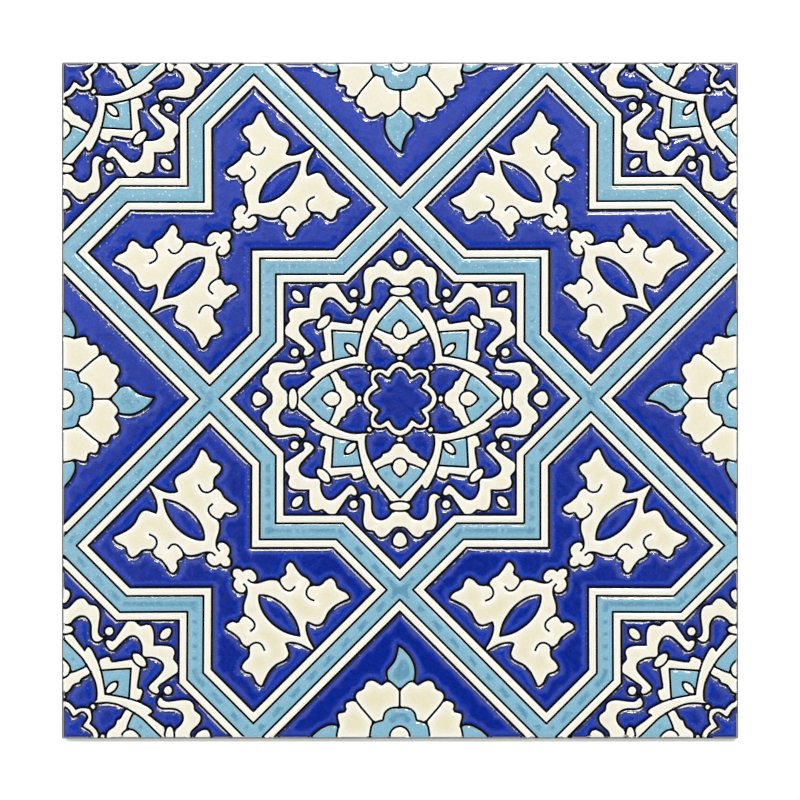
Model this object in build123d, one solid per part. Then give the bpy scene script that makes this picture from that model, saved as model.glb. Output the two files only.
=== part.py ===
from build123d import *
import os

# Ornamental star-and-cross tile, dry-line ("cuerda seca") glazed ceramic.
# One fired piece. It lies on its back: +Z is up through the glazed face,
# +X and +Y run along its edges, and the origin is the middle of the back at z = 0.

# The fired body, in mm
tile_side = 200.0
body_thickness = 7.5  # back ribs up to the bare clay that shows as the dark lines
edge_bevel = 0.3  # pale chamfer round the face
corner_radius = 0.5

# The ribbed back that keys into the adhesive
back_groove_count = 14
back_groove_width = 10.0
back_rib_width = 3.5
back_groove_depth = 0.8

# The glaze, which stands proud of the clay and stops short of the dark lines
glaze_height = 0.5
glaze_edge_margin = 0.2
line_width = 0.7

# The strapwork: stars at the centre and the corners, crosses and diamonds between
pattern_pitch = 199.26  # from one corner star's centre to the next
pattern_shift_y = 0.5  # the pattern sits this far above the middle of the tile
square_strap = 39.17  # star centre to the middle of a level or upright strap
diagonal_strap = 40.28  # star centre to the middle of a slanting strap
diamond_strap = 30.90  # flower centre to the middle of a diamond's strap
ribbon_half = 2.36  # strap middle to the line between turquoise and cream
strap_half = 4.87  # strap middle to the line between cream and the field

half_pitch = pattern_pitch / 2
star_tip = diagonal_strap * 2**0.5
star_notch = star_tip - square_strap
diamond_tip = diamond_strap * 2**0.5
cross_tip_x = (star_tip - half_pitch + diamond_tip) / 2
cross_tip_y = star_tip - cross_tip_x

star_eighth = [(0, star_tip), (star_notch, square_strap), (square_strap, square_strap)]

# The drawn motifs are chains of arcs. In each list a point that an arc passes through and a
# point where two arcs meet take turns. Distances are from the star's centre, in mm.

# A sixteenth of each line round the star, from the upright axis to the diagonal
rosette = [(0, 11.1), (4.1, 8.4), (6.3, 9.0), (8.4, 8.4)]
inner_ogive = [(0, 29.3), (5.0, 24.1), (9.6, 16.4), (10.25, 13.2), (9.75, 9.75)]

# A quarter of the flower on the tile's edge, and the leaf that hangs from it
flower = [(0, 85.9), (1.1, 85.05), (2.2, 84.0), (3.5, 83.4), (5.4, 84.46), (6.9, 83.45), (8.5, 83.0)]
flower += [(10.0, 83.7), (10.6, 85.1), (11.0, 85.75), (11.8, 86.05), (13.0, 87.05), (13.1, 88.9)]
flower += [(15.2, 89.35), (16.1, 90.3), (16.2, 91.0), (15.95, 91.6), (16.4, 92.3), (17.4, 92.55)]
flower += [(18.45, 93.2), (18.3, 94.8), (18.1, 95.7), (17.85, 96.6), (18.6, half_pitch)]
leaf = [(-4.3, 83.9), (-4.5, 79.4), (-2.6, 75.4), (-1.2, 74.0), (0.45, 72.9), (1.3, 76.6)]
leaf += [(3.1, 79.3), (3.9, 81.3), (3.5, 83.6)]


def star_cell():
    """The sixteen-sided outline of a star along the middles of its straps."""
    points = []
    for turn in range(4):
        for x, y in [*star_eighth, (square_strap, star_notch)]:
            points.append(Vector(x, y).rotate(Axis.Z, -90 * turn))
    return make_face(Polyline(*points, close=True))


def cross_cell():
    """The cross between the middle star and the upper right one."""
    near = [(cross_tip_y, cross_tip_x), (square_strap, star_notch)]
    near += [(square_strap, square_strap), (star_notch, square_strap)]
    near += [(cross_tip_x, cross_tip_y)]
    far = [(half_pitch - x, half_pitch - y) for x, y in near]
    return make_face(Polyline(*near, *far, close=True))


def diamond_cell():
    """The square on its point round the flower at the middle of the top edge."""
    corners = [(0, diamond_tip), (diamond_tip, 0), (0, -diamond_tip), (-diamond_tip, 0)]
    return Pos(0, half_pitch) * make_face(Polyline(*corners, close=True))


def quarter_turns(shape):
    return [shape.rotate(Axis.Z, 90 * turn) for turn in range(4)]


def strapwork_cells():
    corner_star = Pos(half_pitch, half_pitch) * star_cell()
    cells = [star_cell(), *quarter_turns(corner_star)]
    cells += quarter_turns(cross_cell())
    cells += quarter_turns(diamond_cell())
    return cells


def inset(face, distance):
    return offset(face, amount=-distance, kind=Kind.INTERSECTION)


def dark_line(cell, middle):
    """The band of bare clay that runs inside a cell, this far from the strap's middle."""
    return inset(cell, middle - line_width / 2) - inset(cell, middle + line_width / 2)


def over_upright(point):
    return (-point[0], point[1])


def over_diagonal(point):
    return (point[1], point[0])


def over_edge(point):
    return (point[0], 2 * half_pitch - point[1])


def whole(points, *mirrors):
    """A slice of an outline joined to its mirror images, one mirror after the other."""
    for mirror in mirrors:
        points = points + [mirror(point) for point in reversed(points[:-1])]
    return points


def round_a_star(points, starts_at_meeting=False):
    """The closed outline that a sixteenth makes when it is mirrored and turned round a star."""
    quarter = whole(points, over_diagonal)[:-1]
    outline = []
    for turn in range(4):
        for point in quarter:
            place = Vector(*point).rotate(Axis.Z, -90 * turn)
            outline.append((place.X, place.Y))
    if not starts_at_meeting:
        outline = outline[1:] + outline[:1]
    return outline + outline[:1]


def arcs(points):
    """Arcs end to end, each through the point between the two where it meets its neighbours."""
    return [ThreePointArc(*points[k : k + 3]) for k in range(0, len(points) - 2, 2)]


def beside(points, distance):
    """The same chain of arcs moved to its left, with mitred corners."""
    closed = points[0] == points[-1]
    chain = arcs(points)
    moved = []
    for k, point in enumerate(points):
        if k % 2:
            before = after = chain[k // 2].tangent_at(0.5)
        else:
            before = after = None
            if k > 0 or closed:
                before = chain[k // 2 - 1].tangent_at(1)
            if k < len(points) - 1 or closed:
                after = chain[k // 2 % len(chain)].tangent_at(0)
            before, after = before or after, after or before
        middle = (before + after).normalized()
        normal = Vector(-middle.Y, middle.X)
        moved.append(Vector(*point) + normal * (distance / middle.dot(after)))
    return moved


def level_face(edges):
    """The face inside a closed chain of edges, with its front upwards."""
    face = Face(Wire(edges))
    return face if face.normal_at().Z > 0 else -face


def motif_line(points):
    """The band of bare clay along a chain of arcs, closed or open."""
    left = arcs(beside(points, line_width / 2))
    right = arcs(beside(points, -line_width / 2))
    if points[0] == points[-1]:
        faces = sorted([level_face(left), level_face(right)], key=lambda face: face.area)
        return faces[1] - faces[0]
    ends = [Line(left[-1] @ 1, right[-1] @ 1), Line(right[0] @ 0, left[0] @ 0)]
    return level_face([*left, *right, *ends])


def star_lines():
    lines = [motif_line(round_a_star(rosette))]
    lines.append(motif_line(round_a_star(inner_ogive, starts_at_meeting=True)))
    corner_lines = [Pos(half_pitch, half_pitch) * line for line in lines]
    for line in corner_lines:
        lines += quarter_turns(line)
    return lines


def flower_lines():
    petals = motif_line(whole(flower, over_edge, over_upright))
    return quarter_turns(petals) + quarter_turns(motif_line(leaf))


def dark_lines():
    lines = star_lines() + flower_lines()
    for cell in strapwork_cells():
        lines.append(dark_line(cell, ribbon_half))
        lines.append(dark_line(cell, strap_half))
    return [Pos(0, pattern_shift_y) * line for line in lines]


def body():
    """The pressed clay slab with its bevelled face edge and ribbed back."""
    slab = extrude(RectangleRounded(tile_side, tile_side, corner_radius), body_thickness)
    slab = chamfer(slab.faces().sort_by(Axis.Z)[-1].edges(), edge_bevel)
    pitch = back_groove_width + back_rib_width
    groove_length = back_groove_count * pitch - back_rib_width
    groove = Box(back_groove_width, groove_length, 2 * back_groove_depth)
    places = GridLocations(pitch, 0, back_groove_count, 1)
    return slab - [place * groove for place in places]


def glaze():
    """The glaze pools: the whole face, less the dark lines."""
    side = tile_side - 2 * glaze_edge_margin - 2 * edge_bevel
    face = Rectangle(side, side) - dark_lines()
    return extrude(Pos(0, 0, body_thickness) * face, glaze_height)


tile = body() + glaze()

os.makedirs("parts", exist_ok=True)
export_step(tile.solid(), "parts/tile.step")
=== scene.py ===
import bpy
import math
import numpy as np
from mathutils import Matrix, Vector, kdtree, noise
from mathutils.geometry import delaunay_2d_cdt


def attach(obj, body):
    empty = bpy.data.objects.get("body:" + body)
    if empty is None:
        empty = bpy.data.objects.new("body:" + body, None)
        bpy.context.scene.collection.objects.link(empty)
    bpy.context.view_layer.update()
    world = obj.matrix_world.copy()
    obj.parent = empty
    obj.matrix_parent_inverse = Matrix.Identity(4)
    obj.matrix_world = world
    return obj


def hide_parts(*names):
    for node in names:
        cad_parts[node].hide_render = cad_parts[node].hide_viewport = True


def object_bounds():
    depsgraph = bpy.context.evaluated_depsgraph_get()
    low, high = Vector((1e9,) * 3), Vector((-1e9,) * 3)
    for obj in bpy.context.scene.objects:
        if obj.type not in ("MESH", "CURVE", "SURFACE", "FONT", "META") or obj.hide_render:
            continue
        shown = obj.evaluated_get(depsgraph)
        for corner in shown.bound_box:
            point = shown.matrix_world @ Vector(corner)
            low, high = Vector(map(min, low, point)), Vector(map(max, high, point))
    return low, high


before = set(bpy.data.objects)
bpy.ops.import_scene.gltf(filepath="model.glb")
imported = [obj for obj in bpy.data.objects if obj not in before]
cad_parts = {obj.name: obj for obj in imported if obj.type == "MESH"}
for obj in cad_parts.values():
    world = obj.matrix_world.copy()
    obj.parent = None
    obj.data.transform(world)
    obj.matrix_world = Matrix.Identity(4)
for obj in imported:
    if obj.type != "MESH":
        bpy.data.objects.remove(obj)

cadLow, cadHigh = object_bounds()
mm = 0.001

# The tile, in mm. Its outline and height come from the frame.
tileForm = {
    "side": (cadHigh.x - cadLow.x) / mm,
    "top": cadHigh.z / mm,
    "glazeHeight": 0.5,      # glaze pools above the bare clay of the dark lines
    "edgeBevel": 0.3,
    "cornerRadius": 0.5,
    "grooveCount": 14,       # the keyed back
    "grooveWidth": 10.0,
    "ribWidth": 3.5,
    "grooveDepth": 0.8,
}

# The drawn pattern, in mm from the middle of the centre star
pattern = {
    "halfPitch": 99.63,            # centre star to the flower on an edge
    "shift": (0.01, 0.53),         # the pattern's middle from the tile's middle
    "stretch": (-0.18, 0.05),      # unevenness of the drawn pattern, all as mm at the tile's edge
    "skew": 0.105,
    "keystone": 0.2,
    "cornerPull": 0.53,
    "edgePull": 0.165,
    "lineWidth": 0.66,
    "borderInset": 0.2,            # middle of the bare strip along the tile's own edge
    "squareStrap": 39.17,          # star centre to the middle of each strap
    "diagonalStrap": 56.97,
    "diamondStrap": 55.93,
    "ribbonHalf": 2.36,            # strap middle to its inner and outer lines
    "strapHalf": 4.87,
}
halfPitch = pattern["halfPitch"]
corner = True  # after a point's x and y: the line turns sharply there

# Lines that repeat sixteen times, drawn in the narrow slice above the centre
starLines = [
    [(0, 9.2), (1.2, 8.8), (2.1, 7.9), (2.7, 6.9), (3.25, 6.1, corner), (4.1, 6.4),  # rosette, inner
     (5.1, 7.15), (6.0, 7.5), (6.95, 6.95)],
    [(0, 11.1), (1, 10.9), (2, 10.5), (3, 9.7), (4.1, 8.4, corner), (5, 8.8), (6, 8.9),  # rosette, outer
     (7, 8.85), (8, 8.6), (8.5, 8.5)],
    [(0.2, 13.0), (1.4, 13.2), (2.0, 13.6), (2.6, 14.4), (3.4, 15.5), (4.4, 15.9),  # chevron, lower
     (5.25, 16.2), (5.7, 17.2), (6.2, 17.5), (7.2, 18.0), (8.0, 18.5), (8.6, 19.0)],
    [(2.3, 19.1), (4, 19.6), (5.4, 20.2), (6.8, 20.9), (7.2, 21.3)],  # chevron, upper
    [(0, 23.3, corner), (1, 22.5), (1.8, 21.6), (2.3, 20.6), (2.2, 19.4), (1.7, 18.4),  # chevron's seed
     (0.8, 17.75), (0, 17.6)],
    [(0, 29.3, corner), (2, 27.2), (4, 25.2), (6, 23.0), (7, 21.4), (8, 19.8), (8.8, 18.2),  # ogive, inner
     (9.6, 16.4), (10, 14.8), (10.2, 13), (10.1, 11.4), (9.8, 9.7)],
    [(2.7, 30.8), (4, 29), (5, 27.6), (6.2, 26.1), (6.5, 25.6, corner), (7, 26.5),  # ogive, outer
     (7.4, 26.8), (8, 26.6), (8.6, 26), (9.2, 25), (10, 23.4), (10.4, 22.6), (10.9, 21.2),
     (11.3, 20), (11.8, 18), (12.2, 16), (12.5, 14.4), (12.7, 12.7, corner)],
    [(10.4, 22.7), (11, 23.1), (12, 23.5), (13, 23.85), (13.8, 23.8), (14.3, 23.2),  # slanting petal, outer
     (14.5, 22.4), (15.0, 22.25, corner), (20.8, 23.15)],
    [(11.3, 19.7), (14, 19.87), (20.2, 20.2, corner)],  # slanting petal, inner
    [(16.35, 16.35, corner), (15.6, 16.4), (14.4, 16.0), (13.4, 15.1), (12.85, 14.0),  # leaf in the petal
     (12.8, 12.8, corner)],
    [(0, 33.2), (2, 33.0), (2.8, 32.7), (3.35, 31.9, corner), (3.0, 31.1), (2, 30.6),  # upright lens
     (0, 30.3)],
    [(0, 38.1), (0.8, 38.0), (1.8, 38.5), (2.8, 39.6), (4, 40.7), (5, 41.1), (6, 41.1),  # ribbon, upper
     (6.8, 40.6), (7.5, 39.7), (8, 39.2), (9, 39.1), (10, 38.7), (10.6, 38), (11, 36.8),
     (11.06, 35.4), (10.9, 34), (10.7, 32.4), (10.6, 31), (10.9, 30.1), (11.8, 29.5), (12.6, 29.5)],
    [(2.2, 33.0), (2.6, 33.7), (3.6, 34.9), (4.6, 35.5), (5.8, 35.7), (6.9, 35.3),  # ribbon, lower
     (7.7, 34.4), (8.2, 33.2), (8.3, 31.8), (8.3, 30.4), (8.5, 29.2), (9.1, 28.3), (10.1, 27.9),
     (11.2, 28.2), (12, 28.8), (12.7, 29.5)],
    [(0, 44.0), (1.2, 43.7), (2.1, 43.0), (2.3, 42.0), (1.9, 40.8), (1.0, 39.6),  # outer seed
     (0, 39.1, corner)],
    [(20.5, 34.3), (19.0, 34.2), (18, 32.9), (17, 31.4), (16, 30), (15.1, 28.7),  # corner ribbon
     (14.6, 28.4), (14, 28.7), (13.2, 28.8), (12.6, 28.3), (12.7, 27.2), (13.3, 26.2), (14, 25.5),
     (14.7, 25.3), (15.5, 25.8), (17, 27.3), (18.4, 28.6), (19.6, 29.5), (20.7, 29.8), (21.7, 29.5),
     (22.6, 28.5), (23.2, 27.2), (23.4, 25.8), (23.3, 24.1)],
    [(20.5, 34.3), (21.2, 34.2), (22, 33.7), (22.6, 33.1), (23.2, 32.9), (24, 33.15),
     (24.75, 33.3), (25.4, 33.2), (26.15, 32.8), (26.7, 31.9), (27, 30.7), (27.1, 29.6),
     (27.1, 28.2), (27.08, 27.08, corner)],
]

# The scroll in a cross: the slice below the long slanting axis
scrollLines = [
    [(25.0, 74.0), (25.84, 72.64), (26.64, 71.2), (27.28, 69.6), (27.6, 68.0),  # stem and side
     (27.6, 66.9), (27.28, 66.0, corner), (26.5, 66.3), (25.5, 66.7), (24.4, 66.95), (23.44, 66.7),
     (22.64, 66.0), (22.0, 65.0), (21.2, 63.3), (19.1, 61.2), (16.7, 59.9), (14.75, 58.8),
     (15.7, 57.3), (17.3, 56.5), (18.4, 55.8), (19.0, 54.0), (20.3, 52.8), (21.85, 53.4),
     (23.5, 54.9), (25.5, 55.0), (25.95, 54.8, corner), (27.4, 52.9), (28.95, 52.07),
     (29.8, 51.1), (30.7, 49.9), (31.4, 48.7), (32.15, 48.1), (32.9, 48.25), (33.6, 49.1),
     (34.0, 50.1), (33.8, 51.0), (33.7, 51.6), (34.3, 52.1), (35.1, 52.6), (35.6, 53.2),
     (35.7, 53.6, corner), (36.7, 53.4), (38.0, 53.3), (39.2, 53.45), (40.4, 53.8),
     (41.6, 54.2), (42.6, 54.35), (43.5, 54.3), (44.2, 54.06), (44.7, 53.6), (45.07, 53.3)],
    [(42.9, 54.3), (42.3, 53.5), (42.2, 52.6), (42.5, 51.7), (43.2, 50.85), (44.2, 50.25),  # trefoil
     (45.2, 50.2), (45.9, 50.4), (46.5, 50.85, corner), (47.1, 50.1), (48.2, 49.7),
     (49.2, 50.1), (49.65, 51.0), (49.7, 51.8), (49.4, 52.6), (48.8, 53.2, corner)],
    [(25.9, 54.9), (26.5, 55.2), (27.3, 56.05), (27.65, 57.1), (27.5, 58.1), (26.9, 58.9),  # curls
     (26, 59.4), (25.2, 59.7)],
    [(35.7, 53.6), (35.4, 54.4), (34.7, 55.5), (33.8, 56.4), (32.8, 56.75), (31.9, 56.5),
     (31.2, 55.7), (30.9, 55.4)],
    [(29.6, 70.03, corner), (30, 68), (30.7, 65.9), (31.9, 63.85), (33.45, 61.8), (35.2, 60.2),  # eye
     (37.1, 59), (39.2, 58.2), (40.9, 57.96), (41.6, 58.03, corner)],
]

# The half flower on an edge, right-hand side
flowerY = halfPitch
flowerLines = [
    [(0, 91.2), (1.96, 91.2), (3.16, 91.6), (4.0, 92.26), (4.6, 93.2), (4.75, 94.2),  # eye of the flower
     (5.07, 94.96, corner), (6.1, 95.15), (7.0, 95.5), (7.55, 95.6, corner), (8.24, 96.45),
     (8.6, 97.95), (8.8, flowerY)],
    [(0, 91.2), (0, 85.9)],  # between the petals
    [(7.55, 95.6), (8.9, 94), (10.2, 92.5), (11.5, 91), (12.6, 89.5), (13.1, 88.9)],
    [(0, 85.9, corner), (1.0, 85.1), (1.84, 84.3), (2.8, 83.6), (3.5, 83.4), (4.24, 83.6),  # lower petal
     (4.96, 84.2), (5.4, 84.46, corner), (5.9, 84.1), (6.76, 83.56), (7.6, 83.2), (8.56, 83.0),
     (9.4, 83.3), (10.2, 83.95), (10.57, 85.07), (10.95, 85.7), (11.9, 86.1), (12.8, 86.75),
     (13.2, 87.7), (13.12, 88.9)],
    [(13.1, 88.9, corner), (13.9, 89), (15.05, 89.3), (15.9, 89.8), (16.2, 90.7),  # side petal
     (15.9, 91.6), (16.4, 92.35), (17.5, 92.57), (18.3, 92.9), (18.5, 93.8), (18.2, 95.15),
     (17.85, 96.6, corner), (18.2, 97.4), (18.5, 98.7), (18.6, flowerY)],
    [(17.9, 96.5), (19.5, 96.15), (21, 96.25), (22.5, 96.9), (24, 97.8), (25.4, 99.0),  # half leaf
     (26.1, flowerY)],
]

# The whole leaf under a flower leans one way, so it is turned but not mirrored
leafLines = [
    [(-4.3, 83.5), (-4.45, 82), (-4.6, 80.5), (-4.4, 79), (-3.9, 77.6), (-3.0, 76), (-2.0, 74.8),
     (-1.0, 73.8), (0.1, 73.05), (0.45, 72.9, corner), (0.65, 74.4), (1.0, 75.8), (1.5, 77.2),
     (2.2, 78.3), (3.1, 79.3), (3.75, 80.2), (3.85, 81.3), (3.65, 82.5), (3.3, 83.5)],
]

# Ovals: middle, half length across, half length along, tilt in degrees
pearls = [
    (0, 12.05, 1.15, 0.9, 0),
    (9.05, 9.05, 0.97, 0.97, 0),
    (22.65, 22.7, 2.8, 1.5, -45),
    (13.7, 31.2, 1.45, 1.45, 0),
    (30.4, 30.4, 2.2, 1.45, 45),
]
flowerPearls = [(0, flowerY, 2.95, 2.95, 0)]

# One point inside each pool that isn't cobalt
pools = {
    "cream": [(1.5, 9.7), (0.6, 12.05), (9.05, 9.05), (3.5, 17.5), (1, 20), (7, 24.5), (1.4, 31.75),
              (22.65, 22.65), (13, 21.8), (14.3, 14.3), (6, 38.4), (13.7, 31.2), (1, 42),
              (25, 30), (30.4, 30.4), (5, 46.8), (12, 62.8), (37, 56), (48, 51.5)],
    "turquoise": [(1.5, 25.5), (17, 18.5), (5, 51.97)],
}
flowerPools = {
    "cream": [(0, 98.5), (5, 88), (14, 94), (10, 71.0)],
    "turquoise": [(0.5, 94), (21, 98)],
}
leafPools = {"turquoise": [(-1, 79)]}


def mirrorOf(point, end):
    # the neighbour of an end that lies on one of the pattern's mirror lines
    x, y = end[0], end[1]
    if abs(x) < 1e-6:
        return (-point[0], point[1])
    if abs(x - y) < 1e-6:
        return (point[1], point[0])
    if abs(y - flowerY) < 1e-6:
        return (point[0], 2 * flowerY - point[1])
    return (2 * x - point[0], 2 * y - point[1])


def smoothRun(run, first, last, step):
    # a curve through every point of a run, with its ends leaning on first and last
    pts = np.array([first, *run, last], float)
    gaps = np.maximum(1e-6, np.linalg.norm(np.diff(pts, axis=0), axis=1))
    out = []
    for k in range(1, len(pts) - 2):
        a, b, span = pts[k], pts[k + 1], gaps[k]
        slopeIn, slopeOut = (a - pts[k - 1]) / gaps[k - 1], (b - a) / span
        slopeNext = (pts[k + 2] - b) / gaps[k + 1]
        leanA = (slopeIn * span + slopeOut * gaps[k - 1]) / (span + gaps[k - 1])
        leanB = (slopeOut * gaps[k + 1] + slopeNext * span) / (span + gaps[k + 1])
        t = np.linspace(0, 1, max(2, math.ceil(span / step)), endpoint=False)[:, None]
        out.append((2 * t**3 - 3 * t**2 + 1) * a + (t**3 - 2 * t**2 + t) * span * leanA
                   + (3 * t**2 - 2 * t**3) * b + (t**3 - t**2) * span * leanB)
    return np.vstack([*out, pts[-2:-1]])


def smoothLine(points, step):
    # runs between sharp corners, joined end to end
    breaks = [k for k, p in enumerate(points) if len(p) > 2 and 0 < k < len(points) - 1]
    breaks = [0, *breaks, len(points) - 1]
    parts = []
    for start, stop in zip(breaks, breaks[1:]):
        run = [p[:2] for p in points[start:stop + 1]]
        ends = []
        for end, near in ((points[start], run[1]), (points[stop], run[-2])):
            sharp = len(end) > 2
            ends.append((2 * end[0] - near[0], 2 * end[1] - near[1]) if sharp else mirrorOf(near, end))
        parts.append(smoothRun(run, *ends, step))
    return np.vstack([parts[0], *[p[1:] for p in parts[1:]]])


def oval(x, y, across, along, tilt, step):
    count = max(12, math.ceil(math.pi * (across + along) / step))
    t = np.linspace(0, 2 * math.pi, count + 1)
    c, s = math.cos(math.radians(tilt)), math.sin(math.radians(tilt))
    u, v = across * np.cos(t), along * np.sin(t)
    return np.stack([x + u * c - v * s, y + u * s + v * c], axis=1)


def insetOutline(points, distance):
    # a closed outline moved inwards, its corners kept sharp
    pts = np.array(points, float)
    if np.sum(pts[:, 0] * np.roll(pts[:, 1], -1) - np.roll(pts[:, 0], -1) * pts[:, 1]) < 0:
        pts = pts[::-1]
    out = []
    for k in range(len(pts)):
        a, b, c = pts[k - 1], pts[k], pts[(k + 1) % len(pts)]
        u, v = (b - a) / np.linalg.norm(b - a), (c - b) / np.linalg.norm(c - b)
        inU, inV = np.array([-u[1], u[0]]), np.array([-v[1], v[0]])
        out.append(b + (inU + inV) * distance / (1 + inU @ inV))
    return np.array([*out, out[0]])


def evened(line, step):
    # the same line with its points at an even spacing
    gaps = np.linalg.norm(np.diff(line, axis=0), axis=1)
    along = np.concatenate([[0], np.cumsum(gaps)])
    count = max(2, math.ceil(along[-1] / step) + 1)
    at = np.linspace(0, along[-1], count)
    return np.stack([np.interp(at, along, line[:, 0]), np.interp(at, along, line[:, 1])], axis=1)


def straightLine(points, step):
    # straight runs with even points that keep every corner
    pts = np.array(points, float)
    parts = [evened(pts[k:k + 2], step) for k in range(len(pts) - 1)]
    return np.vstack([parts[0], *[p[1:] for p in parts[1:]]])


def turned(pts, turn, flip=False):
    x, y = (-pts[:, 0], pts[:, 1]) if flip else (pts[:, 0], pts[:, 1])
    for _ in range(turn):
        x, y = y, -x
    return np.stack([x, y], axis=1)


def acrossCell(pts):
    # the mirror line that takes the centre star to a corner star
    return np.stack([halfPitch - pts[:, 1], halfPitch - pts[:, 0]], axis=1)


def eightWays(pts):
    return [turned(pts, turn, flip) for turn in range(4) for flip in (False, True)]


def sixteenWays(pts):
    return eightWays(pts) + eightWays(acrossCell(pts))


def fourWays(pts):
    return [turned(pts, turn) for turn in range(4)]


def overEdges(lines):
    # the pattern runs on past each edge's mirror line to the tile's own edge
    out = list(lines)
    for axis in (0, 1):
        for side in (-1, 1):
            for pts in list(out):
                if np.max(side * pts[:, axis]) > halfPitch - 1.5:
                    copy = pts.copy()
                    copy[:, axis] = 2 * side * halfPitch - copy[:, axis]
                    out.append(copy)
    return out


fine = 0.15  # mm between the points that distances are measured from


def strapOutlines():
    square, diagonal, diamond = (pattern[k] for k in ("squareStrap", "diagonalStrap", "diamondStrap"))
    notch = diagonal - square
    tipX, tipY = (diagonal - diamond) / 2, (diagonal + diamond) / 2
    star = []
    for turn in range(4):
        star += [tuple(p) for p in turned(np.array([(0, diagonal), (notch, square), (square, square),
                                                    (square, notch)]), turn)]
    near = [(tipY, tipX), (square, notch), (square, square), (notch, square), (tipX, tipY)]
    cross = near + [(halfPitch - x, halfPitch - y) for x, y in near]
    reach = halfPitch - diamond
    flower = [(0, halfPitch - reach), (reach, halfPitch), (0, halfPitch + reach), (-reach, halfPitch)]
    lines = []
    for distance in (pattern["ribbonHalf"], pattern["strapHalf"]):
        starLine = straightLine(insetOutline(star, distance), fine)
        lines += [starLine, *fourWays(starLine + halfPitch)]
        lines += fourWays(straightLine(insetOutline(cross, distance), fine))
        lines += fourWays(straightLine(insetOutline(flower, distance), fine))
    return lines


print("drawing the pattern")
curves = []
for points in starLines + scrollLines:
    curves += sixteenWays(smoothLine(points, fine))
for points in pearls:
    curves += sixteenWays(oval(*points, fine))
for points in flowerLines:
    curves += eightWays(smoothLine(points, fine))
for points in flowerPearls:
    curves += fourWays(oval(*points, fine))
for points in leafLines:
    curves += fourWays(smoothLine(points, fine))
curves = overEdges(curves)
straps = strapOutlines()


def laid(pts):
    # the pattern as it lies on the tile: off centre and a little uneven
    u, v = pts[:, 0] / halfPitch, pts[:, 1] / halfPitch
    skew, keystone, pull, edge = (pattern[k] for k in ("skew", "keystone", "cornerPull", "edgePull"))
    stretchX, stretchY = pattern["stretch"]
    x = stretchX * u + skew * v + keystone * u * u + pull * u * v * v + edge * u**3
    y = stretchY * v + skew * u + keystone * u * v + pull * v * u * u + edge * v**3
    return pts + np.stack([x, y], axis=1) + np.array(pattern["shift"])


curves = [laid(pts) for pts in curves]
straps = [laid(pts) for pts in straps]

half = tileForm["side"] / 2
faceHalf = half - tileForm["edgeBevel"]
borderHalf = half - pattern["borderInset"]
border = straightLine([(-borderHalf, -borderHalf), (borderHalf, -borderHalf), (borderHalf, borderHalf),
                       (-borderHalf, borderHalf), (-borderHalf, -borderHalf)], fine)


def inside(pts, reach):
    return np.max(np.abs(pts), axis=1) < reach


allLines = [*curves, *straps, border]
runStarts = set(np.cumsum([len(line) for line in allLines]).tolist())
linePoints = [tuple(p) for p in np.vstack(allLines).tolist()]
borderStart = len(linePoints) - len(border)
lineTree = kdtree.KDTree(len(linePoints))
for k, p in enumerate(linePoints):
    lineTree.insert((p[0], p[1], 0), k)
lineTree.balance()


def nearestLine(x, y):
    # distance to the middle of the nearest dark line, the foot on it, and which of its points is near
    _, k, gap = lineTree.find((x, y, 0))
    best = (gap, *linePoints[k], k)
    for a in (k - 1, k):
        if a < 0 or a + 1 in runStarts:
            continue
        (ax, ay), (bx, by) = linePoints[a], linePoints[a + 1]
        dx, dy = bx - ax, by - ay
        size = dx * dx + dy * dy
        if size < 1e-12:
            continue
        t = min(1.0, max(0.0, ((x - ax) * dx + (y - ay) * dy) / size))
        footX, footY = ax + t * dx, ay + t * dy
        gap = math.hypot(x - footX, y - footY)
        if gap < best[0]:
            best = (gap, footX, footY, k)
    return best


def fromLine(x, y):
    return nearestLine(x, y)[0]


# How the glaze swells beside a line, in mm
glazeEdge = {
    "meniscus": 1.3,      # width of the rounded shoulder
    "lookAhead": 0.4,     # how far ahead a narrow pool's other side rounds it off
    "steepness": {"cobalt": 0.72, "turquoise": 0.46, "cream": 0.4},  # the stiff white glaze lies flattest
    "wave": 0.03,         # slow unevenness of the pool
    "waveLength": 6.0,
}
halfLine = pattern["lineWidth"] / 2

# Where the mesh of the face has its points, in mm
faceMesh = {
    "rings": (0, 0.14, 0.42, 0.95),  # rows beside a line, from the line's edge
    "sharpTurn": 0.45,               # radians; a line that turns more at a point has a corner there
    "fanStep": 0.6,                  # radians between the points round the outside of a corner
    "curveStep": 0.68,
    "strapStep": 1.8,
    "gridStep": 2.1,                 # the open middle of a pool, in even triangles
    "gridRise": 0.866,               # height of such a triangle over its side
    "gridClear": 0.55,               # from the last row to the first point of the middle
    "gridEdge": 0.5,                 # from the middle's points to the tile's own edge
    "rowSlack": 0.02,                # a point may lie this much nearer to another line than its row
    "edgeClear": 0.03,               # from the tile's own edge
    "cornerClear": 0.05,             # from the inside of a line's corner
    "lineShare": 0.94,               # share of half a line within which a triangle is part of it
    "seedEdge": 0.3,                 # a pool's point nearer to the tile's own edge is left out
    "weld": 0.001,
}

meshPoints = []
meshEdges = []


def addPoint(x, y):
    meshPoints.append(Vector((x, y)))
    return len(meshPoints) - 1


def loopPoints(reach, radius, perSide=200, perCorner=4):
    # the tile's outline with rounded corners, going round from the lower right
    out = []
    straight = reach - radius
    for turn in range(4):
        a = turn * math.pi / 2
        ux, uy = math.cos(a), math.sin(a)
        for k in range(perSide):
            t = -1 + 2 * k / perSide
            out.append((ux * reach - uy * straight * t, uy * reach + ux * straight * t))
        for k in range(perCorner):
            b = a + k / perCorner * math.pi / 2
            cx, cy = straight * (ux - uy), straight * (uy + ux)
            out.append((cx + radius * math.cos(b), cy + radius * math.sin(b)))
    return out


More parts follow.
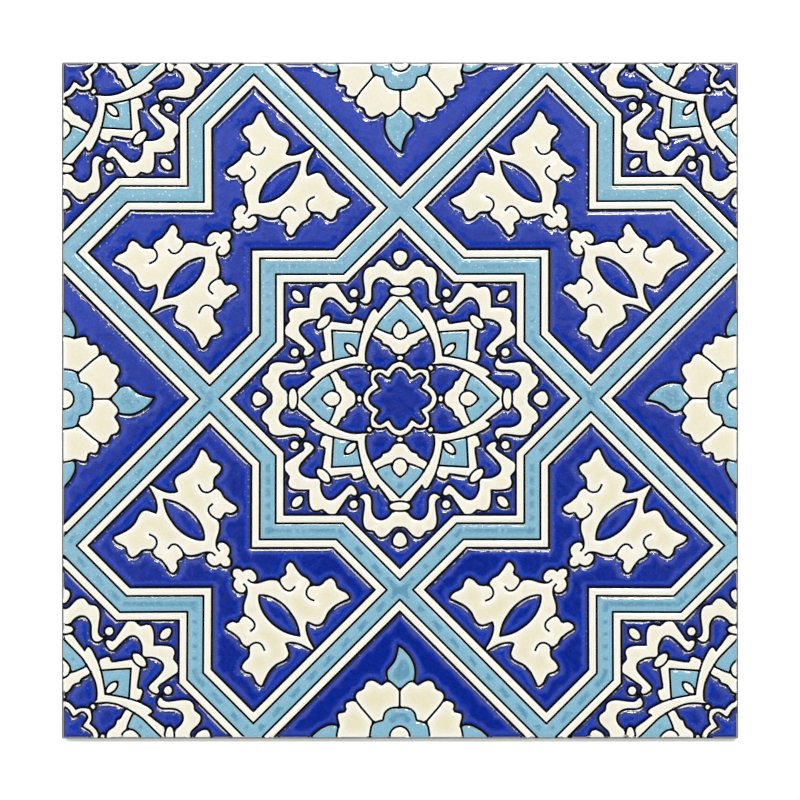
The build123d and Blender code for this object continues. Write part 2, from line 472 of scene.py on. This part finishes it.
topLoop = loopPoints(faceHalf, tileForm["cornerRadius"] - tileForm["edgeBevel"])
for x, y in topLoop:
    addPoint(x, y)
meshEdges += [(k, (k + 1) % len(topLoop)) for k in range(len(topLoop))]


def addRings(line, step):
    # rows of points beside a line, left out where another line is nearer
    apart = np.linalg.norm(np.diff(line, axis=0), axis=1) > 1e-7
    line = line[np.concatenate([apart, [True]])]
    way = np.diff(line, axis=0)
    gaps = np.linalg.norm(way, axis=1)
    way /= gaps[:, None]
    closed = np.linalg.norm(line[0] - line[-1]) < 1e-6
    wayIn = np.vstack([way[-1] if closed else way[0], way])
    wayOut = np.vstack([way, way[0] if closed else way[-1]])
    across = wayIn[:, 0] * wayOut[:, 1] - wayIn[:, 1] * wayOut[:, 0]
    turn = np.arctan2(across, np.sum(wayIn * wayOut, axis=1))
    along = np.concatenate([[0], np.cumsum(gaps)])
    sharp = np.flatnonzero(np.abs(turn) > faceMesh["sharpTurn"]).tolist()
    stops = np.unique([0, *sharp, len(line) - 1])
    at = set(stops)
    for first, last in zip(stops, stops[1:]):
        count = max(1, round((along[last] - along[first]) / step))
        at |= set(np.searchsorted(along, np.linspace(along[first], along[last], count + 1)[1:-1]))
    for side in (-1, 1):
        for ring in faceMesh["rings"]:
            reach = halfLine + ring
            cutShort = [(along[k], reach * math.tan(abs(turn[k]) / 2) + faceMesh["cornerClear"])
                        for k in sharp if turn[k] * side > 0]
            previous = None
            for k in sorted(at):
                facing = math.atan2(wayIn[k][0], -wayIn[k][1])  # the left normal before the point
                spread = [(facing + turn[k] / 2, reach)]
                if k in sharp and turn[k] * side > 0:
                    spread = [(facing + turn[k] / 2, reach / math.cos(turn[k] / 2))]
                elif k in sharp:
                    count = max(2, math.ceil(abs(turn[k]) / faceMesh["fanStep"]))
                    spread = [(facing + turn[k] * j / count, reach) for j in range(count + 1)]
                for angle, far in spread:
                    x = line[k][0] + side * far * math.cos(angle)
                    y = line[k][1] + side * far * math.sin(angle)
                    offFace = max(abs(x), abs(y)) > faceHalf - faceMesh["edgeClear"]
                    if offFace or fromLine(x, y) < reach - faceMesh["rowSlack"]:
                        if not any(abs(along[k] - cutAt) < cut for cutAt, cut in cutShort):
                            previous = None
                        continue
                    here = addPoint(x, y)
                    if previous is not None:
                        meshEdges.append((previous, here))
                    previous = here


for line in curves:
    if inside(line, faceHalf + 1).any():
        addRings(line, faceMesh["curveStep"])
for line in straps + [border]:
    if inside(line, faceHalf + 1).any():
        addRings(line, faceMesh["strapStep"])
clear = halfLine + faceMesh["rings"][-1] + faceMesh["gridClear"]
gridStep, gridRise = faceMesh["gridStep"], faceMesh["gridRise"]
rows = int(faceHalf / (gridStep * gridRise))
for row in range(-rows, rows + 1):
    for column in range(-rows, rows + 1):
        x = (column + 0.5 * (row % 2)) * gridStep
        y = row * gridStep * gridRise
        if max(abs(x), abs(y)) < faceHalf - faceMesh["gridEdge"] and fromLine(x, y) > clear:
            addPoint(x, y)
print("face points", len(meshPoints), "edges", len(meshEdges))

weld = faceMesh["weld"]
flat, _, flatFaces, pointSource, _, _ = delaunay_2d_cdt(meshPoints, meshEdges, [], 0, weld)
print("face triangles", len(flatFaces))

# Each pool is a patch of triangles that no dark line crosses
centroids = np.array([[sum(flat[v].x for v in f) / 3, sum(flat[v].y for v in f) / 3] for f in flatFaces])
nearCentroid = [nearestLine(x, y) for x, y in centroids]
onLine = [near[0] < halfLine * faceMesh["lineShare"] for near in nearCentroid]
onBorder = [near[3] >= borderStart for near in nearCentroid]
poolOf = list(range(len(flatFaces)))


def poolRoot(k):
    while poolOf[k] != k:
        poolOf[k] = poolOf[poolOf[k]]
        k = poolOf[k]
    return k


beside = {}
for k, face in enumerate(flatFaces):
    if onLine[k]:
        continue
    for a, b in zip(face, face[1:] + face[:1]):
        key = (min(a, b), max(a, b))
        if key in beside:
            poolOf[poolRoot(k)] = poolRoot(beside[key])
        beside[key] = k

faceTree = kdtree.KDTree(len(centroids))
for k, (x, y) in enumerate(centroids):
    if not onLine[k]:
        faceTree.insert((x, y, 0), k)
faceTree.balance()

glazes = ["cobalt", "turquoise", "cream", "line", "clay", "strip", "arris"]
poolGlaze = {}
for table, ways in ((pools, sixteenWays), (flowerPools, eightWays), (leafPools, fourWays)):
    for glaze, spots in table.items():
        for spot in spots:
            for pts in overEdges(ways(np.array([spot], float))):
                x, y = laid(pts)[0]
                if max(abs(x), abs(y)) > faceHalf - faceMesh["seedEdge"]:
                    continue
                _, k, gap = faceTree.find((x, y, 0))
                poolGlaze[poolRoot(k)] = glazes.index(glaze)
                if gap > gridStep:
                    print("far from its pool", glaze, spot, gap)

clayTop = tileForm["top"] - tileForm["glazeHeight"]


def glazeRise(fromEdge):
    # the swollen shoulder of a pool, 0 at the line and 1 where it levels out
    t = min(1.0, max(0.0, fromEdge) / glazeEdge["meniscus"])
    return 1 - (1 - t) ** 2


def glazeLean(x, y):
    # which way the glaze faces at a point: out from the pool near a line, level in its middle
    gap, footX, footY, _ = nearestLine(x, y)
    t = max(0.0, gap - halfLine) / glazeEdge["meniscus"]
    if t >= 1 or gap < 1e-6:
        return (0.0, 0.0, 1.0)
    awayX, awayY = (x - footX) / gap, (y - footY) / gap
    ahead = glazeEdge["lookAhead"]
    free = (fromLine(x + awayX * ahead, y + awayY * ahead) - gap) / ahead  # below 1 near the far side
    slope = 2 * tileForm["glazeHeight"] / glazeEdge["meniscus"] * (1 - t) * max(0.0, free)
    return tuple(Vector((-awayX * slope, -awayY * slope, 1.0)).normalized())


vertices = []
rim = []
lean = [glazeLean(p.x, p.y) for p in flat]
for p in flat:
    fromEdge = fromLine(p.x, p.y) - halfLine
    if max(abs(p.x), abs(p.y)) > faceHalf - 0.01:
        fromEdge = 0
    rise = glazeRise(fromEdge)
    slow = noise.noise(Vector((p.x, p.y, 3.0)) / glazeEdge["waveLength"])
    low = glazeEdge["wave"]
    height = rise * (tileForm["glazeHeight"] - 2 * low) + rise * rise * low * (1 + slow)
    vertices.append((p.x * mm, p.y * mm, (clayTop + height) * mm))
    rim.append(max(0.0, fromEdge))

# Sides: bevel, wall and back, each a ring of points under the one before
faces = [tuple(f) for f in flatFaces]
faceGlaze = []
for k in range(len(faces)):
    if onLine[k]:
        faceGlaze.append(glazes.index("strip" if onBorder[k] else "line"))
    else:
        faceGlaze.append(poolGlaze.get(poolRoot(k), glazes.index("cobalt")))
topCount = len(faces)
loopAt = {}
for k, sources in enumerate(pointSource):
    for s in sources:
        if s < len(topLoop):
            loopAt[s] = k
ring = [loopAt[k] for k in range(len(topLoop))]
outline = loopPoints(half, tileForm["cornerRadius"])
for height, glaze in ((clayTop - tileForm["edgeBevel"], "arris"), (0.0, "clay")):
    lower = []
    for x, y in outline:
        vertices.append((x * mm, y * mm, height * mm))
        rim.append(0.0)
        lower.append(len(vertices) - 1)
    for k in range(len(ring)):
        j = (k + 1) % len(ring)
        faces.append((ring[j], ring[k], lower[k], lower[j]))
        faceGlaze.append(glazes.index(glaze))
    ring = lower

# Back: the level ribs are one sheet with holes, and each groove is a shallow tray in a hole
groovePitch = tileForm["grooveWidth"] + tileForm["ribWidth"]
grooveHalf = (tileForm["grooveCount"] * groovePitch - tileForm["ribWidth"]) / 2
backPoints = [Vector(p) for p in outline]
backEdges = [(k, (k + 1) % len(outline)) for k in range(len(outline))]
grooves = []
for k in range(tileForm["grooveCount"]):
    x = (k - (tileForm["grooveCount"] - 1) / 2) * groovePitch
    w = tileForm["grooveWidth"] / 2
    first = len(backPoints)
    backPoints += [Vector(p) for p in ((x - w, -grooveHalf), (x + w, -grooveHalf), (x + w, grooveHalf),
                                       (x - w, grooveHalf))]
    backEdges += [(first + j, first + (j + 1) % 4) for j in range(4)]
    grooves.append((x - w, x + w))
backFlat, _, backFaces, backSource, _, _ = delaunay_2d_cdt(backPoints, backEdges, [], 0, weld)
backIndex = []
for p, sources in zip(backFlat, backSource):
    if sources and min(sources) < len(outline):
        backIndex.append(ring[min(sources)])
    else:
        vertices.append((p.x * mm, p.y * mm, 0.0))
        rim.append(0.0)
        backIndex.append(len(vertices) - 1)
for f in backFaces:
    cx, cy = (sum(backFlat[v][axis] for v in f) / 3 for axis in (0, 1))
    if abs(cy) < grooveHalf and any(a < cx < b for a, b in grooves):
        continue
    faces.append(tuple(backIndex[v] for v in reversed(f)))
    faceGlaze.append(glazes.index("clay"))
vertexOf = {sources[0]: backIndex[k] for k, sources in enumerate(backSource) if sources}
for g in range(len(grooves)):
    low = [vertexOf[len(outline) + 4 * g + j] for j in range(4)]
    high = []
    for v in low:
        vertices.append((vertices[v][0], vertices[v][1], tileForm["grooveDepth"] * mm))
        rim.append(0.0)
        high.append(len(vertices) - 1)
    for j in range(4):
        faces.append((low[j], low[(j + 1) % 4], high[(j + 1) % 4], high[j]))
        faceGlaze.append(glazes.index("clay"))
    faces.append(tuple(reversed(high)))
    faceGlaze.append(glazes.index("clay"))

tileMesh = bpy.data.meshes.new("glazed_tile")
tileMesh.from_pydata(vertices, [], faces)
tile = bpy.data.objects.new("glazed_tile", tileMesh)
bpy.context.collection.objects.link(tile)
print("tile vertices", len(vertices), "triangles", topCount + 2 * (len(faces) - topCount))

tileMesh.polygons.foreach_set("material_index", faceGlaze)
tileMesh.polygons.foreach_set("use_smooth", [k < topCount for k in range(len(faces))])
rimData = tileMesh.attributes.new("fromLine", "FLOAT", "POINT")
rimData.data.foreach_set("value", rim)

# the glaze meets the bare lines, and the tile's sides meet, at a crease
glazeBeside = {}
for k, polygon in enumerate(tileMesh.polygons):
    for edge in polygon.edge_keys:
        glazeBeside.setdefault(edge, []).append(faceGlaze[k])
crease = []
for edge in tileMesh.edges:
    near = glazeBeside.get(tuple(sorted(edge.vertices)), [])
    crease.append(len(set(near)) > 1)
creaseData = tileMesh.attributes.new("sharp_edge", "BOOLEAN", "EDGE")
creaseData.data.foreach_set("value", crease)
tileMesh.update()
cornerNormals = []
for k, polygon in enumerate(tileMesh.polygons):
    steepness = glazeEdge["steepness"].get(glazes[faceGlaze[k]], 0)
    if k < topCount and steepness:
        leans = [lean[v] for v in polygon.vertices]
        cornerNormals += [(x * steepness, y * steepness, z) for x, y, z in leans]
    else:
        cornerNormals += [tuple(polygon.normal)] * len(polygon.vertices)
tileMesh.normals_split_custom_set(cornerNormals)


def linear(hexColour):
    # sRGB hex to the linear values that Blender works in
    parts = [int(hexColour[k:k + 2], 16) / 255 for k in (1, 3, 5)]
    return (*[c / 12.92 if c <= 0.04045 else ((c + 0.055) / 1.055) ** 2.4 for c in parts], 1.0)


def add(material, kind, links=(), second=None, **settings):
    # one node, its settings, a value for its second input, and its links as (input, node, output)
    node = material.node_tree.nodes.new("ShaderNode" + kind)
    if second is not None:
        node.inputs[1].default_value = second
    for name, value in settings.items():
        if hasattr(node, name):
            setattr(node, name, value)
        else:
            node.inputs[name].default_value = value
    for name, source, output in links:
        material.node_tree.links.new(source.outputs[output], node.inputs[name])
    return node


def newMaterial(name):
    material = bpy.data.materials.new(name)
    material.use_nodes = True
    material.node_tree.nodes.clear()
    return material


def finishMaterial(material, shader):
    add(material, "OutputMaterial", [("Surface", shader, 0)])
    return material


# Every glaze: colours from its rim inwards, widths in mm from the dark line, heights in mm

# Cobalt blue glaze, a transparent glass stained by cobalt oxide, trailed on by hand and melted.
# To the eye it is a wet, deep blue: thin and bright at its rim, nearly navy where it pooled.
cobaltLook = {
    "edge": "#17225A", "edgeWidth": 0.65,     # where the line's pigment bleeds into it, deepened as painted shade beside the groove
    "shoal": "#11329B", "shoalWidth": 1.2,    # thin glaze round the pool
    "body": "#1139B1", "deep": "#0D2892", "deepWidth": 2.2,
    "cloud": 4.0, "cloudShare": 0.6,          # size of the patches where it is deeper or thinner
    "grain": 0.30,                            # share that the mottle darkens and lightens
    "glintSideShade": 0.5,                             # painted shade: how far the rim's dark colour spreads over the shoulder that faces the windows
    # pale points: on cobalt mostly painted glints along the rim that faces the windows
    "seedAndGlint": "#D6DDF4", "seedReach": 1.5, "seedLevel": 0.12,
    "ripple": 0.016, "swell": 0.08, "roughness": 0.05,
}
# Turquoise glaze, a copper glass clouded by tin, run into the straps and melted.
# To the eye it is a milky sky blue with many pale points of gas, and a soft gleam.
turquoiseLook = {
    "edge": "#96BCCB", "edgeWidth": 0.35,
    "shoal": "#88B9CE", "shoalWidth": 0.9,
    "body": "#8ABDD3", "deep": "#669DBA", "deepWidth": 1.6,
    "cloud": 2.0, "cloudShare": 0.9,
    "grain": 0.11,
    "glintSideShade": 0.0,
    "seedAndGlint": "#E2F1F8", "seedReach": 9.0, "seedLevel": 0.7,
    "ripple": 0.02, "swell": 0.06, "roughness": 0.05,
}
# Tin white glaze, made opaque by tin oxide, stiff in the fire and laid on thick.
# To the eye it is a warm cream, whiter at its rim, with a calmer surface than the clear glazes.
creamLook = {
    "edge": "#FCFBF5", "edgeWidth": 0.45,
    "shoal": "#FBF8EC", "shoalWidth": 1.4,
    "body": "#F3EED8", "deep": "#F0E9CA", "deepWidth": 2.6,
    "cloud": 6.0, "cloudShare": 0.9,
    "grain": 0.03,
    "glintSideShade": 0.0,
    "seedAndGlint": "#FFFFFF", "seedReach": 9.0, "seedLevel": 0.0,
    "ripple": 0.02, "swell": 0.05, "roughness": 0.08,
}
# What the firing did to all three, in mm, and where painted reflection, painted shade and painted glints go
kilnAndLight = {
    "darkReflectionSpot": (8, -88), "darkReflectionCore": 40, "darkReflectionReach": 200,   # painted reflection: the glaze is coloured darker round this spot, where it mirrors the dark of the room
    "windowsFrom": (0.35, 0.94, 0),                              # the side of a pool that faces the windows; painted shade and painted glints go there
    "rippleSize": 0.7, "swellSize": 6.0, "grainSize": 0.6,
    "seedSpacing": 1.1, "seedRadius": 0.34, "seedShare": 0.45,  # pale points: gas seeds in the glaze, and painted glints
    "ior": 1.52,                                              # a soft lead-free glass
}


def makeGlaze(name, look):
    # a glassy coat that pooled while molten: stained at the line, thin at its rim, deep in the middle; with
    # painted reflection, painted shade and painted glints
    m = newMaterial(name)
    where = ("Vector", add(m, "TexCoord"), "Object")
    rim = ("Value", add(m, "Attribute", attribute_name="fromLine"), "Fac")
    soft = {"interpolation_type": "SMOOTHSTEP"}
    edge = add(m, "MapRange", [rim], **soft, **{"From Max": look["edgeWidth"]})
    shoal = add(m, "MapRange", [rim], **soft, **{
        "From Min": look["edgeWidth"], "From Max": look["shoalWidth"]})
    depth = add(m, "MapRange", [rim], **soft, **{
        "From Min": look["shoalWidth"], "From Max": look["deepWidth"]})

    # how deep it ran, in clouds, and painted reflection: darker round a spot near the bottom edge
    darkSpotX, darkSpotY = kilnAndLight["darkReflectionSpot"]
    spot = add(m, "VectorMath", [where], operation="DISTANCE",
               second=(darkSpotX * mm, darkSpotY * mm, tileForm["top"] * mm))
    darkReflection = add(m, "MapRange", [("Value", spot, "Value")], **soft, **{
        "From Min": kilnAndLight["darkReflectionCore"] * mm, "From Max": kilnAndLight["darkReflectionReach"] * mm,
        "To Min": 1.0, "To Max": 0.1})
    cloud = add(m, "TexNoise", [where], Scale=1 / (look["cloud"] * mm), Detail=3.0, Distortion=1.2)
    drift = add(m, "MapRange", [("Value", cloud, "Fac")], **{
        "From Min": 0.3, "From Max": 0.7,
        "To Min": -look["cloudShare"] / 2, "To Max": look["cloudShare"] / 2})
    cloudsAndDarkReflection = add(m, "Math", [(0, darkReflection, "Result"), (1, drift, "Result")], operation="ADD", use_clamp=True)
    deepAndDarkReflection = add(m, "Math", [(0, cloudsAndDarkReflection, "Value"), (1, depth, "Result")], operation="MULTIPLY")
    body = add(m, "MixRGB", [("Fac", deepAndDarkReflection, "Value")],
               Color1=linear(look["body"]), Color2=linear(look["deep"]))
    inner = add(m, "MixRGB", [("Fac", shoal, "Result"), ("Color2", body, "Color")],
                Color1=linear(look["shoal"]))

    # painted shade: the rim's dark colour spread over the shoulder that faces the windows, a dark band
    # beside the glint
    north = add(m, "VectorMath", [(0, add(m, "NewGeometry"), "Normal")], operation="DOT_PRODUCT",
                second=kilnAndLight["windowsFrom"])
    facing = ("Value", north, "Value")
    glintSideShadeMask = add(m, "MapRange", [facing], **soft, **{
        "From Min": 0.02, "From Max": 0.22, "To Max": look["glintSideShade"]})
    glintSideShaded = add(m, "MixRGB", [("Fac", glintSideShadeMask, "Result"), ("Color1", inner, "Color")],
                  Color2=linear(look["edge"]))
    whole = add(m, "MixRGB", [("Fac", edge, "Result"), ("Color2", glintSideShaded, "Color")],
                Color1=linear(look["edge"]))
    grain = add(m, "TexNoise", [where], Scale=1 / (kilnAndLight["grainSize"] * mm), Detail=2.0)
    shade = add(m, "MapRange", [("Value", grain, "Fac")], **{
        "From Min": 0.25, "From Max": 0.75, "To Min": 1 - look["grain"], "To Max": 1 + look["grain"]})
    grained = add(m, "VectorMath", [(0, whole, "Color"), (1, shade, "Result")], operation="MULTIPLY")

    # pale points, one to a cell: gas seeds in the glaze, and painted glints that crowd on the shoulder
    # facing the windows and thin out in the painted dark reflection
    cell = add(m, "TexVoronoi", [where], Scale=1 / (kilnAndLight["seedSpacing"] * mm))
    size = kilnAndLight["seedRadius"] / kilnAndLight["seedSpacing"]
    dot = add(m, "MapRange", [("Value", cell, "Distance")], **{
        "From Min": size / 2, "From Max": size, "To Min": 1.0, "To Max": 0.0})
    draw = add(m, "SeparateColor", [("Color", cell, "Color")])
    chosen = add(m, "Math", [(0, draw, "Red")], operation="LESS_THAN", second=kilnAndLight["seedShare"])
    nearRim = add(m, "MapRange", [rim], **{
        "From Min": look["seedReach"], "From Max": look["seedReach"] * 1.6, "To Min": 1.0, "To Max": 0.0})
    towardWindows = add(m, "MapRange", [facing], **{
        "From Min": 0.0, "From Max": 0.2,
        "To Min": look["seedLevel"], "To Max": 1.0 if look["seedLevel"] else 0.0})
    fewerInDarkReflection = add(m, "MapRange", [("Value", darkReflection, "Result")], **{"To Min": 1.0, "To Max": 0.2})
    many = add(m, "Math", [(0, chosen, "Value"), (1, dot, "Result")], operation="MULTIPLY")
    glintPlace = add(m, "Math", [(0, fewerInDarkReflection, "Result"), (1, towardWindows, "Result")], operation="MULTIPLY")
    there = add(m, "Math", [(0, nearRim, "Result"), (1, glintPlace, "Value")], operation="MULTIPLY")
    seedsAndGlints = add(m, "Math", [(0, many, "Value"), (1, there, "Value")], operation="MULTIPLY")
    withSeedsAndGlints = add(m, "MixRGB", [("Fac", seedsAndGlints, "Value"), ("Color1", grained, "Vector")],
                 Color2=linear(look["seedAndGlint"]))

    # the surface: fine ripples from the gas and slow swells from the flow
    ripple = add(m, "TexNoise", [where], Scale=1 / (kilnAndLight["rippleSize"] * mm), Detail=1.0)
    swell = add(m, "TexNoise", [where], Scale=1 / (kilnAndLight["swellSize"] * mm), Detail=1.0, Distortion=1.2)
    ripples = add(m, "Math", [(0, ripple, "Fac")], operation="MULTIPLY", second=look["ripple"])
    waves = add(m, "Math", [(0, swell, "Fac"), (2, ripples, "Value")], operation="MULTIPLY_ADD",
                second=look["swell"])
    bump = add(m, "Bump", [("Height", waves, "Value")], Strength=1.0, Distance=mm)
    shader = add(m, "BsdfPrincipled", [("Base Color", withSeedsAndGlints, "Color"), ("Normal", bump, "Normal")],
                 Roughness=look["roughness"], IOR=kilnAndLight["ior"])
    return finishMaterial(m, shader)


# Manganese resist, brushed between the glazes and burnt onto the clay: a dry, matt black
lineLook = {"colour": "#050507", "roughness": 0.9, "gloss": 0.05}
# Bisque, a pale clay pressed and fired once: chalky and even, with no shine
clayLook = {"colour": "#D9D6CC", "roughness": 0.85, "gloss": 0.3}
# The same bisque along the face's edge, a mid grey
rimLook = {"colour": "#A4A4A2", "roughness": 0.85, "gloss": 0.3}
# The bevelled arris: dark dashes on grey, patches in mm
arrisLook = {"dark": "#0C0C10", "pale": "#4C4C50", "patch": 1.1, "roughness": 0.8}
dryIor = 1.5  # of clay and pigment


def makeDry(name, look):
    # a plain matt finish
    m = newMaterial(name)
    shader = add(m, "BsdfPrincipled", Roughness=look["roughness"], IOR=dryIor,
                 **{"Base Color": linear(look["colour"]), "Specular IOR Level": look["gloss"]})
    return finishMaterial(m, shader)


def makeArris(name, look):
    # dark dashes along the tile's own edge
    m = newMaterial(name)
    where = ("Vector", add(m, "TexCoord"), "Object")
    blotch = add(m, "TexNoise", [where], Scale=1 / (look["patch"] * mm), Detail=2.0)
    share = add(m, "MapRange", [("Value", blotch, "Fac")], **{"From Min": 0.42, "From Max": 0.6})
    colour = add(m, "MixRGB", [("Fac", share, "Result")],
                 Color1=linear(look["dark"]), Color2=linear(look["pale"]))
    shader = add(m, "BsdfPrincipled", [("Base Color", colour, "Color")],
                 Roughness=look["roughness"], IOR=dryIor)
    return finishMaterial(m, shader)


print("glazing the tile")
finishes = [  # in the order of the list called glazes
    makeGlaze("cobalt_glaze", cobaltLook),
    makeGlaze("turquoise_glaze", turquoiseLook),
    makeGlaze("tin_white_glaze", creamLook),
    makeDry("manganese_line", lineLook),
    makeDry("bisque_clay", clayLook),
    makeDry("grey_rim", rimLook),
    makeArris("dark_dashed_arris", arrisLook),
]
for finish in finishes:
    tileMesh.materials.append(finish)

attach(tile, "root")
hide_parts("tile")

# Floor, light and camera
print("setting up the studio")
studio = {
    "floorHalf": 2.0,
    "floorDrop": 0.0002,     # below the tile's back
    "floor": "#F8F8F8", "floorGlow": 0.10,
    "pixel": 0.29586 * mm,   # real size of one pixel of the photograph, at the tile's face
    "tileMiddle": (400.0, 400.5),  # pixels
    "frame": 800,            # pixels
    "distance": 0.65,        # camera to the widest part of the tile
}
floorMesh = bpy.data.meshes.new("studio_floor")
reach = studio["floorHalf"]
floorMesh.from_pydata([(-reach, -reach, 0), (reach, -reach, 0), (reach, reach, 0), (-reach, reach, 0)],
                      [], [(0, 1, 2, 3)])
floor = bpy.data.objects.new("studio_floor", floorMesh)
floor.location.z = -studio["floorDrop"]
bpy.context.collection.objects.link(floor)
# Background paper, uncoated: an even white that keeps the tile's soft shadow
paper = newMaterial("white_paper")
diffuse = add(paper, "BsdfDiffuse", Color=linear(studio["floor"]))
glow = add(paper, "Emission", Color=(1, 1, 1, 1), Strength=studio["floorGlow"])
both = add(paper, "AddShader", [(0, diffuse, 0), (1, glow, 0)])
floorMesh.materials.append(finishMaterial(paper, both))

world = bpy.data.worlds.new("studio")
bpy.context.scene.world = world
world.use_nodes = True
world.node_tree.nodes.clear()
sky = {
    "level": 0.50,
    # what the glaze mirrors, from south to north: a dim room, a bright ceiling, the wall over the windows
    "roomFrom": -0.8, "roomTo": 0.3, "roomDim": 0.1, "roomBright": 1.5, "leanWest": 0.17,
    "wallFrom": 0.17, "wallTo": 0.32, "wall": 0.2,
    # the camera stand's shadow on the ceiling
    "shade": (0.01, -0.13, 1), "shadeCore": 0.03, "shadeRim": 0.33,
}
direction = add(world, "TexCoord")
slant = add(world, "VectorMath", [(0, direction, "Generated")], operation="DOT_PRODUCT",
            second=(-sky["leanWest"], 1, 0))
room = add(world, "MapRange", [("Value", slant, "Value")], **{
    "From Min": sky["roomFrom"], "From Max": sky["roomTo"],
    "To Min": sky["roomDim"], "To Max": sky["roomBright"]})
wall = add(world, "MapRange", [("Value", slant, "Value")], interpolation_type="SMOOTHSTEP", **{
    "From Min": sky["wallFrom"], "From Max": sky["wallTo"], "To Min": 1.0, "To Max": sky["wall"]})
offShade = add(world, "VectorMath", [(0, direction, "Generated")], operation="DISTANCE",
               second=sky["shade"])
shaded = add(world, "MapRange", [("Value", offShade, "Value")], interpolation_type="SMOOTHSTEP",
             **{"From Min": sky["shadeCore"], "From Max": sky["shadeRim"]})
inShade = add(world, "Math", [(0, room, "Result"), (1, shaded, "Result")], operation="MULTIPLY")
gloss = add(world, "Math", [(0, inShade, "Value"), (1, wall, "Result")], operation="MULTIPLY")
path = add(world, "LightPath")
plain = add(world, "Background", Color=(1, 1, 1, 1), Strength=sky["level"])
reflected = add(world, "Background", [("Strength", gloss, "Value")], Color=(1, 1, 1, 1))
seen = add(world, "Background", Color=(1, 1, 1, 1), Strength=1.0)
light = add(world, "MixShader", [("Fac", path, "Is Glossy Ray"), (1, plain, 0), (2, reflected, 0)])
backdrop = add(world, "MixShader", [("Fac", path, "Is Camera Ray"), (1, light, 0), (2, seen, 0)])
add(world, "OutputWorld", [("Surface", backdrop, 0)])

# Suns: azimuth from north towards east and elevation, in degrees, strength, and width in degrees.
# The windows and the lamp only draw the glints along the pools.
glintSuns = {
    "window_west": (-34, 49, 0.8, 18),
    "window_middle": (-8, 49, 1.6, 18),
    "window_east": (18, 49, 1.4, 18),
    "window_far_east": (45, 49, 0.9, 18),
    "lamp": (15, 68, 0.5, 6),
}
# The overhead one lights the colours.
colourSuns = {"overhead": (-8, 74.5, 1.63, 3)}


def addSun(name, azimuth, elevation, strength, width, glintsOnly):
    data = bpy.data.lights.new(name, "SUN")
    data.energy = strength
    data.angle = math.radians(width)
    lamp = bpy.data.objects.new(name, data)
    a, e = math.radians(azimuth), math.radians(elevation)
    towards = Vector((math.sin(a) * math.cos(e), math.cos(a) * math.cos(e), math.sin(e)))
    lamp.rotation_euler = towards.to_track_quat("Z", "Y").to_euler()
    lamp.visible_glossy = glintsOnly
    lamp.visible_diffuse = not glintsOnly
    bpy.context.collection.objects.link(lamp)


for suns, glintsOnly in ((glintSuns, True), (colourSuns, False)):
    for name, settings in suns.items():
        addSun(name, *settings, glintsOnly)

camera = bpy.data.objects.new("camera", bpy.data.cameras.new("camera"))
viewWidth = studio["frame"] * studio["pixel"]
camera.data.angle = 2 * math.atan(viewWidth / 2 / studio["distance"])
camera.location.x = (studio["frame"] / 2 - studio["tileMiddle"][0]) * studio["pixel"]
camera.location.y = (studio["tileMiddle"][1] - studio["frame"] / 2) * studio["pixel"]
camera.location.z = (clayTop - tileForm["edgeBevel"]) * mm + studio["distance"]
bpy.context.collection.objects.link(camera)
bpy.context.scene.camera = camera
bpy.context.scene.view_settings.view_transform = "Standard"
